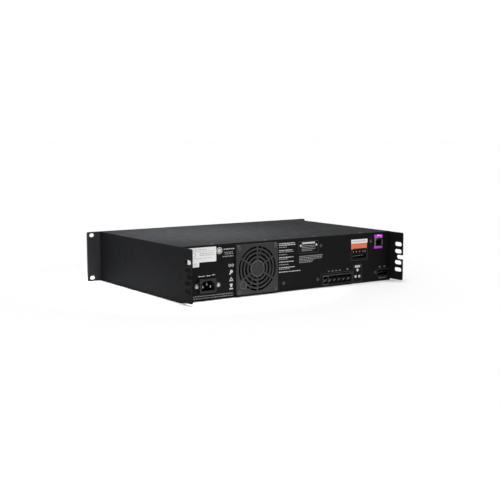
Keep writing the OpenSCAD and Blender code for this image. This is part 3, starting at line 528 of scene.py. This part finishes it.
def rating_label():
    """White label with a tab, rows of dashes and a plain oval on it."""
    low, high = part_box("rating_label")
    tab_height = 7.1 * MM
    tab_width = 21 * MM
    face = high.y
    body = (low.x, high.x, low.z + tab_height, high.z)
    film_piece = bmesh.new()
    add_prism(film_piece, round_outline(*body, 1.2 * MM), low.y - MARK_ROOT, face)
    add_prism(film_piece, round_outline(high.x - tab_width, high.x, low.z, body[2] + 3 * MM, 1.2 * MM),
              low.y - MARK_ROOT, face - 0.01 * MM)
    label = as_piece("rating_label_film", film_piece, FINISHES["label_white"],
                     replaces=["rating_label"])
    round_edges(label, 0.04, 1)

    rng = random.Random(5)
    print_ = bmesh.new()
    y = (face - MARK_ROOT, face + 0.03 * MM)
    left, right = body[1] / MM - 3, body[0] / MM + 3
    top = body[3] / MM
    width = left - right
    # Start and stop as shares of the width, then the drop from the top edge and the height in millimetres
    rows = ((0, 0.7, 3.4, 1.3), (0, 1, 6.2, 0.8), (0.42, 0.95, 9.6, 1.2), (0.42, 1, 12.4, 1.2),
            (0, 0.9, 17, 0.8))
    for start, stop, drop, height in rows:
        text_row(print_, rng, left - width * start, left - width * stop, top - drop, height, y)
    for row in range(2):
        text_row(print_, rng, left, left - 15, low.z / MM + 2.6 + 2.6 * row, 1.0, y)
    cx, cz = (left - 6.5) * MM, (top - 11.2) * MM
    oval = [[(cx + (x - cx) * 1.9, z) for x, z in arc(cx, cz, r * MM)] for r in (3.0, 2.5)]
    add_band(print_, *oval, *y)
    as_piece("rating_label_print", print_, LABEL_INK)


def port_labels():
    """White and orange film over the input header, magenta bands over and under the network jack."""
    low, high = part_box("port_labels")
    y0, y1 = low.y - MARK_ROOT, high.y
    white = bmesh.new()
    add_prism(white, round_outline(*in_mm(-162, -125, 71, 78), 0.8 * MM), y0, y1)
    as_piece("input_label_white", white, FINISHES["label_white"], replaces=["port_labels"])
    orange = bmesh.new()
    add_prism(orange, round_outline(*in_mm(-161, -125, 62, 71), 0.4 * MM), y0, y1)
    add_prism(orange, round_outline(*in_mm(-129, -125, 60.6, 62), 0.3 * MM), y0, y1)
    as_piece("input_label_orange", orange, FINISHES["label_colour"])
    magenta = bmesh.new()
    for z0, z1 in ((78.3, 83.7), (59, 62.4)):
        add_prism(magenta, round_outline(*in_mm(-197, -178, z0, z1), 0.4 * MM), y0, y1)
    as_piece("network_label", magenta, MAGENTA_FILM)

    marks = bmesh.new()
    y = (y1 - MARK_ROOT, y1 + 0.03 * MM)
    rng = random.Random(3)
    text_row(marks, rng, -129, -158, 74.6, 1.6, y)
    as_piece("input_label_print", marks, LABEL_INK)
    marks = bmesh.new()
    add_prism(marks, round_outline(*in_mm(-191.5, -184.5, 81, 83), 0.3 * MM), *y)
    add_prism(marks, round_outline(*in_mm(-195, -192.6, 79.4, 81.6), 0.3 * MM), *y)
    as_piece("network_label_print", marks, FINISHES["label_white"])


# ---------------------------------------------------------------- screws

def screw_head(radius, height, cross):
    """Mesh of a domed head with a cross recess; its underside is on the origin and it points up +Z."""
    bm = bmesh.new()
    steps = 10
    rim = height * 0.3
    profile = [(radius, 0), (radius, rim)]
    profile += [(radius * math.cos(math.pi / 2 * i / steps),
                 rim + (height - rim) * math.sin(math.pi / 2 * i / steps)) for i in range(1, steps)]
    verts = [bm.verts.new((r, 0, z)) for r, z in profile + [(0, height)]]
    verts.insert(0, bm.verts.new((0, 0, 0)))
    edges = [bm.edges.new(pair) for pair in zip(verts, verts[1:])]
    bmesh.ops.spin(bm, geom=verts + edges, cent=(0, 0, 0), axis=(0, 0, 1), steps=40, angle=math.tau)
    bmesh.ops.remove_doubles(bm, verts=bm.verts, dist=0.001 * MM)
    bmesh.ops.recalc_face_normals(bm, faces=bm.faces)
    mesh = bpy.data.meshes.new("screw_head")
    bm.to_mesh(mesh)
    bm.free()
    head = link_object("screw_head_blank", mesh)

    cutter_bm = bmesh.new()
    for turn in (0, 90):
        arm = bmesh.new()
        add_box(arm, (-radius * 0.6, -cross / 2, height * 0.42), (radius * 0.6, cross / 2, height * 2))
        arm.transform(Matrix.Rotation(math.radians(turn), 4, "Z"))
        scratch = bpy.data.meshes.new("arm")
        arm.to_mesh(scratch)
        arm.free()
        cutter_bm.from_mesh(scratch)
        bpy.data.meshes.remove(scratch)
    bmesh.ops.recalc_face_normals(cutter_bm, faces=cutter_bm.faces)
    cutter_mesh = bpy.data.meshes.new("screw_cutter")
    cutter_bm.to_mesh(cutter_mesh)
    cutter_bm.free()
    cutter = link_object("screw_cutter", cutter_mesh)
    cut = head.modifiers.new("cross", "BOOLEAN")
    cut.object = cutter
    cut.solver = "EXACT"
    cut.use_self = True
    result = bpy.data.meshes.new_from_object(head.evaluated_get(bpy.context.evaluated_depsgraph_get()))
    for spare in (head, cutter):
        bpy.data.objects.remove(spare)
    return result


def screws(name, node, places, turn, radius, height, cross=0.8):
    """Domed screw heads that stand for a CAD part's screws. Each one's recess has an angle of its own."""
    head = screw_head(radius * MM, height * MM, cross * MM)
    rng = random.Random(len(name))
    bm = bmesh.new()
    for place in places:
        start = len(bm.verts)
        bm.from_mesh(head)
        bm.verts.ensure_lookup_table()
        own = bm.verts[start:]
        spin = Matrix.Rotation(rng.uniform(0, math.tau), 4, "Z")
        bmesh.ops.transform(bm, matrix=Matrix.Translation(place) @ turn @ spin, verts=own)
    slot = slot_of(node)
    piece = as_piece(name, bm, FINISHES[slot], replaces=[node])
    round_edges(piece, 0.12, 2, 35)


def solid_middles(node):
    """Middle of each separate solid in a CAD part, with its lowest and highest corner."""
    bm = bmesh.new()
    bm.from_mesh(frame["nodes"][node].data)
    bmesh.ops.remove_doubles(bm, verts=bm.verts, dist=0.002 * MM)
    left = set(bm.verts)
    found = []
    while left:
        group = [left.pop()]
        low, high = group[0].co.copy(), group[0].co.copy()
        while group:
            vert = group.pop()
            low = Vector(map(min, low, vert.co))
            high = Vector(map(max, high, vert.co))
            for edge in vert.link_edges:
                other = edge.other_vert(vert)
                if other in left:
                    left.remove(other)
                    group.append(other)
        found.append(((low + high) / 2, low, high))
    bm.free()
    return sorted(found, key=lambda row: (round(row[0].x, 5), round(row[0].z, 5)))


TO_REAR = Matrix.Rotation(math.radians(-90), 4, "X")


def rear_screws():
    """Heads on the rear panel, on the guard and on the inlet's flange: (node, seat, radius, height)."""
    small, large = 1.8, 2.0
    inlet_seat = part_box("mains_inlet_screws")[1].y - small * MM
    kinds = (("rear_panel_screws", REAR_Y, 2.9, small), ("fan_screws", GUARD_Y, 3.8, large),
             ("mains_inlet_screws", inlet_seat, 2.9, small))
    for node, seat, radius, height in kinds:
        places = [(middle.x, seat, middle.z) for middle, _, _ in solid_middles(node)]
        screws(f"{node}_heads", node, places, TO_REAR, radius, height)


# ---------------------------------------------------------------- fan

def impeller():
    """Hub cup with curved, swept blades, inside the CAD impeller's space."""
    low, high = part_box("fan_impeller")
    cx, cz = (low.x + high.x) / 2, (low.z + high.z) / 2
    outer = (high.x - low.x) / 2
    hub = 15.5 * MM
    depth = high.y - low.y
    blades = 7
    spans, chords = 10, 12
    bm = bmesh.new()
    for blade in range(blades):
        grid = []
        for i in range(spans + 1):
            share = i / spans
            radius = hub - 0.5 * MM + (outer - hub + 0.5 * MM) * share
            pitch = math.radians(46 - 10 * share)
            sweep = math.radians(14) * share ** 1.5
            row = []
            for j in range(chords + 1):
                along = j / chords
                camber = 0.10 * math.sin(math.pi * along)
                turn = math.tau * blade / blades + sweep + along * pitch + camber
                y = low.y + depth * (0.06 + 0.88 * along)
                row.append(bm.verts.new((cx + radius * math.cos(turn), y, cz + radius * math.sin(turn))))
            grid.append(row)
        for i in range(spans):
            for j in range(chords):
                bm.faces.new((grid[i][j], grid[i + 1][j], grid[i + 1][j + 1], grid[i][j + 1]))
    piece = as_piece("fan_blades", bm, FINISHES["fan_plastic"], "fan_rotor", ["fan_impeller"])
    thick = piece.modifiers.new("thickness", "SOLIDIFY")
    thick.thickness = 1.3 * MM
    thick.offset = 0
    round_edges(piece, 0.35, 2, 50)

    cup = bmesh.new()
    wall = 1.5 * MM
    corner = 2.5 * MM
    outline = [(0, 0), (hub - corner, 0)]
    turns = [math.radians(a) for a in range(15, 91, 15)]
    outline += [(hub - corner + corner * math.sin(a), corner - corner * math.cos(a)) for a in turns]
    outline += [(hub, depth), (hub - wall, depth), (hub - wall, 3 * MM), (0, 3 * MM)]
    verts = [cup.verts.new((cx + r, low.y + y, cz)) for r, y in outline]
    edges = [cup.edges.new(pair) for pair in zip(verts, verts[1:])]
    bmesh.ops.spin(cup, geom=verts + edges, cent=(cx, 0, cz), axis=(0, 1, 0), steps=72, angle=math.tau)
    bmesh.ops.remove_doubles(cup, verts=cup.verts, dist=0.001 * MM)
    hub_piece = as_piece("fan_hub", cup, FINISHES["fan_plastic"], "fan_rotor")
    round_edges(hub_piece, 0.2, 2, 40)


def guard_pad():
    """Raised rim and centre mark on the guard's middle disc, and the round boss over its lower ring; the rims
    are lighter than the guard, as a painted highlight.
    """
    low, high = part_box("fan_guard")
    cx, cz = (low.x + high.x) / 2, (low.z + high.z) / 2
    face = high.y
    foot = face - 0.2 * MM
    rims = bmesh.new()
    add_band(rims, arc(cx, cz, 13.4 * MM, steps=64), arc(cx, cz, 12.2 * MM, steps=64), foot, face + 0.6 * MM)
    boss = (cx + 27.6 * MM, cz - 25 * MM)
    add_band(rims, arc(*boss, 6.6 * MM, steps=48), arc(*boss, 5.6 * MM, steps=48), foot, face + 0.6 * MM)
    rim = as_piece("fan_guard_rims", rims, GUARD_RIM_HIGHLIGHT)
    round_edges(rim, 0.3, 3)
    pads = bmesh.new()
    add_prism(pads, arc(cx, cz, 3 * MM), foot, face + 0.3 * MM)
    add_prism(pads, arc(*boss, 6.1 * MM, steps=48), face - 2.2 * MM, face + 0.3 * MM)
    pad = as_piece("fan_guard_bosses", pads, FINISHES["guard_plastic"])
    round_edges(pad, 0.15, 2)


# ---------------------------------------------------------------- sockets

def network_jack():
    """Black insert, lamp windows and spring tabs in the metal shell of the network jack."""
    low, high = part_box("network_jack")
    cx, cz = (low.x + high.x) / 2, (low.z + high.z) / 2
    face = high.y
    # Outlines of the plug's opening and of the insert, in millimetres from the jack's middle
    well = ((-5.9, 3.7), (5.9, 3.7), (5.9, -3.7), (3.2, -3.7),
            (3.2, -5.7), (-3.2, -5.7), (-3.2, -3.7), (-5.9, -3.7))
    rim = ((-7.9, 7.2), (7.9, 7.2), (7.9, -3.7), (7.9, -7.2),
           (3.2, -7.2), (-3.2, -7.2), (-7.9, -7.2), (-7.9, -3.7))
    insert = bmesh.new()
    rings = [[(cx + x * MM, cz + z * MM) for x, z in ring] for ring in (rim, well)]
    back = face - 18.6 * MM
    add_band(insert, *rings, back, face + 0.1 * MM)
    add_prism(insert, rings[0], back - 0.2 * MM, back)
    as_piece("network_jack_insert", insert, FINISHES["header_plastic"])
    lamps = bmesh.new()
    for side in (-1, 1):
        x = cx + side * 5.2 * MM
        window = round_outline(x - 1.5 * MM, x + 1.5 * MM, high.z - 2.9 * MM, high.z - 1.1 * MM, 0.3 * MM)
        add_prism(lamps, window, face - 0.6 * MM, face + 0.15 * MM)
    lens = as_piece("network_jack_lamps", lamps, LAMP_OFF)
    round_edges(lens, 0.1, 2)
    tabs = bmesh.new()
    for side in (-1, 1):
        edge = cx + side * 8.0 * MM
        for z in (low.z + 4.6 * MM, low.z + 9.4 * MM):
            tab = round_outline(edge - 0.45 * MM, edge + 0.45 * MM, z, z + 2.8 * MM, 0.3 * MM)
            add_prism(tabs, tab, face - 0.3 * MM, face + 0.35 * MM)
    springs = as_piece("network_jack_springs", tabs, FINISHES["jack_metal"])
    round_edges(springs, 0.15, 2)


def inlet_details():
    """Raised ribs round the mains inlet's mouth."""
    low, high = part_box("mains_inlet")
    cx, cz = (low.x + high.x) / 2, (low.z + high.z) / 2
    bm = bmesh.new()
    half_w, half_h = 14.6 * MM, 10.4 * MM
    frame_mark(bm, cx - half_w, cx + half_w, cz - half_h, cz + half_h, 2 * MM, 0.7 * MM,
               high.y - 0.2 * MM, high.y + 0.3 * MM)
    rib = as_piece("mains_inlet_rim", bm, FINISHES["inlet_plastic"])
    round_edges(rib, 0.15, 2)


def header_details():
    """Light line along the output header's top, a frame round its first cell, a blade in each cell."""
    low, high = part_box("output_header")
    y0, y1 = high.y - 0.1 * MM, high.y + 0.1 * MM
    edge = bmesh.new()
    add_box(edge, (low.x + MM, y0, high.z - 0.9 * MM), (high.x - MM, y1, high.z - 0.5 * MM))
    first = high.x - 12.6 * MM
    frame_mark(edge, first, high.x - MM, low.z + MM, high.z - 1.6 * MM, 0.5 * MM, 0.4 * MM, y0, y1)
    as_piece("output_header_edge", edge, GREY_INK)
    blades = bmesh.new()
    cz = (low.z + high.z) / 2
    tilt = math.radians(128)
    along, across = 2.8 * MM, 0.3 * MM
    for middle, _, _ in solid_middles("output_header_pins"):
        corners = []
        for a, b in ((-along, -across), (along, -across), (along, across), (-along, across)):
            corners.append((middle.x - 1.6 * MM + a * math.cos(tilt) - b * math.sin(tilt),
                            cz - 1.2 * MM + a * math.sin(tilt) + b * math.cos(tilt)))
        add_prism(blades, corners, high.y - 7 * MM, high.y - 2.5 * MM)
    blade = as_piece("output_header_blades", blades, FINISHES["tinned_pin"])
    round_edges(blade, 0.1, 1)


# ---------------------------------------------------------------- front

def channel_lights():
    """Domed, tinted tips in the channel lights: three columns, one row for each channel."""
    lights = solid_middles("indicator_lights")
    columns = sorted({round(middle.x, 4) for middle, _, _ in lights})
    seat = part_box("indicator_lights")[0].y
    names = ("signal_lights", "limit_lights", "fault_lights")
    for name, tint, column in zip(names, (LAMP_GREEN, LAMP_AMBER, LAMP_RED), columns):
        bm = bmesh.new()
        for middle, low, high in lights:
            if abs(middle.x - column) < MM:
                add_dome(bm, middle.x, seat, middle.z, (high.x - low.x) / 2)
        tips = as_piece(name, bm, tint)
        tips.data.polygons.foreach_set("use_smooth", [True] * len(tips.data.polygons))


def add_dome(bm, x, y, z, radius):
    """A shallow dome that points out of the front."""
    rings = 5
    turns = 24
    rise = 0.5 * MM
    last = None
    for i in range(rings):
        lift = math.radians(90 * i / rings)
        circle = arc(x, z, radius * math.cos(lift), steps=turns)
        ring = [bm.verts.new((px, y - rise * math.sin(lift), pz)) for px, pz in circle]
        if last:
            for k in range(turns):
                bm.faces.new((last[k], last[(k + 1) % turns], ring[(k + 1) % turns], ring[k]))
        else:
            bm.faces.new(ring)
        last = ring
    tip = bm.verts.new((x, y - rise, z))
    for k in range(turns):
        bm.faces.new((last[k], last[(k + 1) % turns], tip))


def key_marks():
    """Arrows, bars and a ring on the keys, an open ring and a bar on the power button."""
    arrows = {"previous_key": 180, "next_key": 0}
    for node in ("previous_key", "next_key", "menu_key", "exit_key"):
        low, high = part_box(node)
        cx, cz = (low.x + high.x) / 2, (low.z + high.z) / 2
        y0, y1 = low.y - MARK_TOP, low.y + 0.2 * MM
        bm = bmesh.new()
        if node in arrows:
            turn = arrows[node]
            add_prism(bm, arc(cx, cz, 1.6 * MM, turn, turn + 360, 3), y0, y1)
        elif node == "menu_key":
            for row in (-1, 0, 1):
                z = cz + row * 1.2 * MM
                add_box(bm, (cx - 1.8 * MM, y0, z - 0.25 * MM), (cx + 1.8 * MM, y1, z + 0.25 * MM))
        else:
            add_band(bm, arc(cx, cz, 1.6 * MM), arc(cx, cz, 1.1 * MM), y0, y1)
        as_piece(f"{node}_mark", bm, WHITE_INK, body_of_node(node))
    low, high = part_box("power_button")
    cx, cz = (low.x + high.x) / 2, (low.z + high.z) / 2
    y0, y1 = low.y - MARK_TOP, low.y + 0.2 * MM
    bm = bmesh.new()
    outer, inner = arc(cx, cz, 3.2 * MM, 125, 415, 40), arc(cx, cz, 2.6 * MM, 125, 415, 40)
    add_prism(bm, outer + inner[::-1], y0, y1)
    add_box(bm, (cx - 0.3 * MM, y0, cz + 0.6 * MM), (cx + 0.3 * MM, y1, cz + 3.6 * MM))
    as_piece("power_button_mark", bm, WHITE_INK, "power_switch")


def front_marks():
    """Ticks beside the lights, a fine outline round the display and a fine ring round the power button."""
    face = FRONT_Y + BEZEL_STEP
    y0, y1 = face - MARK_TOP, face + MARK_ROOT
    low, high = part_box("display_lens")
    bm = bmesh.new()
    gap = 2.2 * MM
    frame_mark(bm, low.x - gap, high.x + gap, low.z - gap, high.z + gap, 2.6 * MM, 0.35 * MM, y0, y1)
    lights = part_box("indicator_lights")
    for z in sorted({round(middle.z, 4) for middle, _, _ in solid_middles("indicator_lights")}):
        x = lights[1].x + 2.6 * MM
        add_box(bm, (x, y0, z - 0.25 * MM), (x + 2.4 * MM, y1, z + 0.25 * MM))
    power_low, power_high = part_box("power_button")
    cx, cz = (power_low.x + power_high.x) / 2, (power_low.z + power_high.z) / 2
    add_band(bm, arc(cx, cz, 10.6 * MM, steps=64), arc(cx, cz, 10.2 * MM, steps=64), y0, y1)
    as_piece("front_marks", bm, GREY_INK)


def display_glass():
    """The display's area, just visible in the smoked window."""
    low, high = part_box("display_lens")
    bm = bmesh.new()
    inset = 4 * MM
    add_prism(bm, round_outline(low.x + inset, high.x - inset, low.z + inset, high.z - inset, 0.6 * MM),
              low.y - 0.04 * MM, low.y + 0.2 * MM)
    glass = as_piece("display_glass", bm, smoked("display_glass", (0.012, 0.02, 0.019)))
    round_edges(glass, 0.03, 1)


# ---------------------------------------------------------------- camera, floor and lights

def camera():
    """Rear three-quarter view from a little above; lengths in metres, the lens in millimetres."""
    azimuth, elevation = math.radians(145.56), math.radians(7.4)
    distance = 1.683
    target = Vector((0, 0.0265, 0.044))
    back = Vector((math.sin(azimuth) * math.cos(elevation), -math.cos(azimuth) * math.cos(elevation),
                   math.sin(elevation)))
    data = bpy.data.cameras.new("camera")
    data.sensor_width = 36
    data.lens = 68.7
    data.shift_x = -0.0146
    data.shift_y = 0.0158
    data.clip_end = 100
    cam = bpy.data.objects.new("camera", data)
    bpy.context.scene.collection.objects.link(cam)
    cam.location = target + back * distance
    cam.rotation_mode = "QUATERNION"
    cam.rotation_quaternion = (-back).to_track_quat("-Z", "Y")
    bpy.context.scene.camera = cam


def floor():
    """Pale floor that reaches far past the picture."""
    bm = bmesh.new()
    bmesh.ops.create_circle(bm, cap_ends=True, radius=30, segments=96)
    mesh = bpy.data.meshes.new("floor")
    bm.to_mesh(mesh)
    bm.free()
    mesh.materials.append(plain_floor("floor"))
    piece = link_object("floor", mesh)
    piece.location.z = cad_box[0].z


# Brightness of the surroundings level with the floor and overhead
HORIZON = 1.0
ZENITH = 0.3


def lamp(name, kind, place, aim, **values):
    """A lamp at place that shines towards aim."""
    data = bpy.data.lights.new(name, kind)
    for key, value in values.items():
        setattr(data, key, value)
    light = bpy.data.objects.new(name, data)
    bpy.context.scene.collection.objects.link(light)
    light.location = place
    light.rotation_mode = "QUATERNION"
    light.rotation_quaternion = (Vector(aim) - Vector(place)).to_track_quat("-Z", "Y")


def sky():
    """Studio surroundings: as bright as the floor at the horizon, dimmer overhead."""
    world = bpy.data.worlds.new("studio")
    bpy.context.scene.world = world
    world.use_nodes = True
    tree = world.node_tree
    way = tree.nodes.new("ShaderNodeTexCoord")
    split = tree.nodes.new("ShaderNodeSeparateXYZ")
    fade = tree.nodes.new("ShaderNodeMapRange")
    fade.interpolation_type = "SMOOTHSTEP"
    for key, number in (("From Min", 0.12), ("From Max", 0.5), ("To Min", HORIZON), ("To Max", ZENITH)):
        fade.inputs[key].default_value = number
    tree.links.new(way.outputs["Generated"], split.inputs[0])
    tree.links.new(split.outputs["Z"], fade.inputs["Value"])
    tree.links.new(fade.outputs["Result"], tree.nodes["Background"].inputs["Strength"])
    tree.nodes["Background"].inputs["Color"].default_value = (1, 1, 1, 1)


def lights():
    """A wide, soft sun from overhead and a soft spot on the +X half of the top cover."""
    sky()
    lamp("ceiling", "SUN", (0, 0.08, 1), (0, 0, 0), energy=2.9, angle=math.radians(40))
    lamp("left_spot", "SPOT", (0.1, -0.03, 1.2), (0.1, -0.03, 0), energy=260, shadow_soft_size=0.1,
         spot_size=math.radians(22), spot_blend=1.0)


# ---------------------------------------------------------------- assembly

# The plain transform keeps the background white and the labels' colours strong
bpy.context.scene.view_settings.view_transform = "Standard"
camera()
floor()
lights()

# Width of the rounded edges of each CAD part that shows, in millimetres
ROUNDED = {
    "front_panel": 0.5, "front_bezel": 0.7, "intake_grille": 0.4, "dust_filter": 0.3, "display_lens": 0.2,
    "previous_key": 0.45, "next_key": 0.45, "menu_key": 0.45, "exit_key": 0.45, "power_button": 0.6,
    "bottom_pan": 0.3, "right_side_panel": 0.5, "left_side_panel": 0.5, "rear_panel": 0.2, "top_cover": 0.6,
    "top_cover_screws": 0.12, "fan_guard": 0.5, "fan_frame": 0.4, "mains_inlet": 0.4, "mains_inlet_pins": 0.3,
    "network_jack": 0.25, "network_jack_contacts": 0.06, "input_header": 0.25, "input_header_pins": 0.15,
    "output_header": 0.35, "output_header_pins": 0.25, "control_port": 0.25, "control_port_pins": 0.15,
}
for node_name, edge_width in ROUNDED.items():
    rounded_part(node_name, edge_width)

rear_print()
rear_symbols()
rating_label()
port_labels()
rear_screws()
impeller()
guard_pad()
network_jack()
inlet_details()
header_details()
channel_lights()
key_marks()
front_marks()
display_glass()

for node_name, part in frame["nodes"].items():
    for material_slot in part.material_slots:
        material_slot.material = FINISHES[slot_of(node_name)]
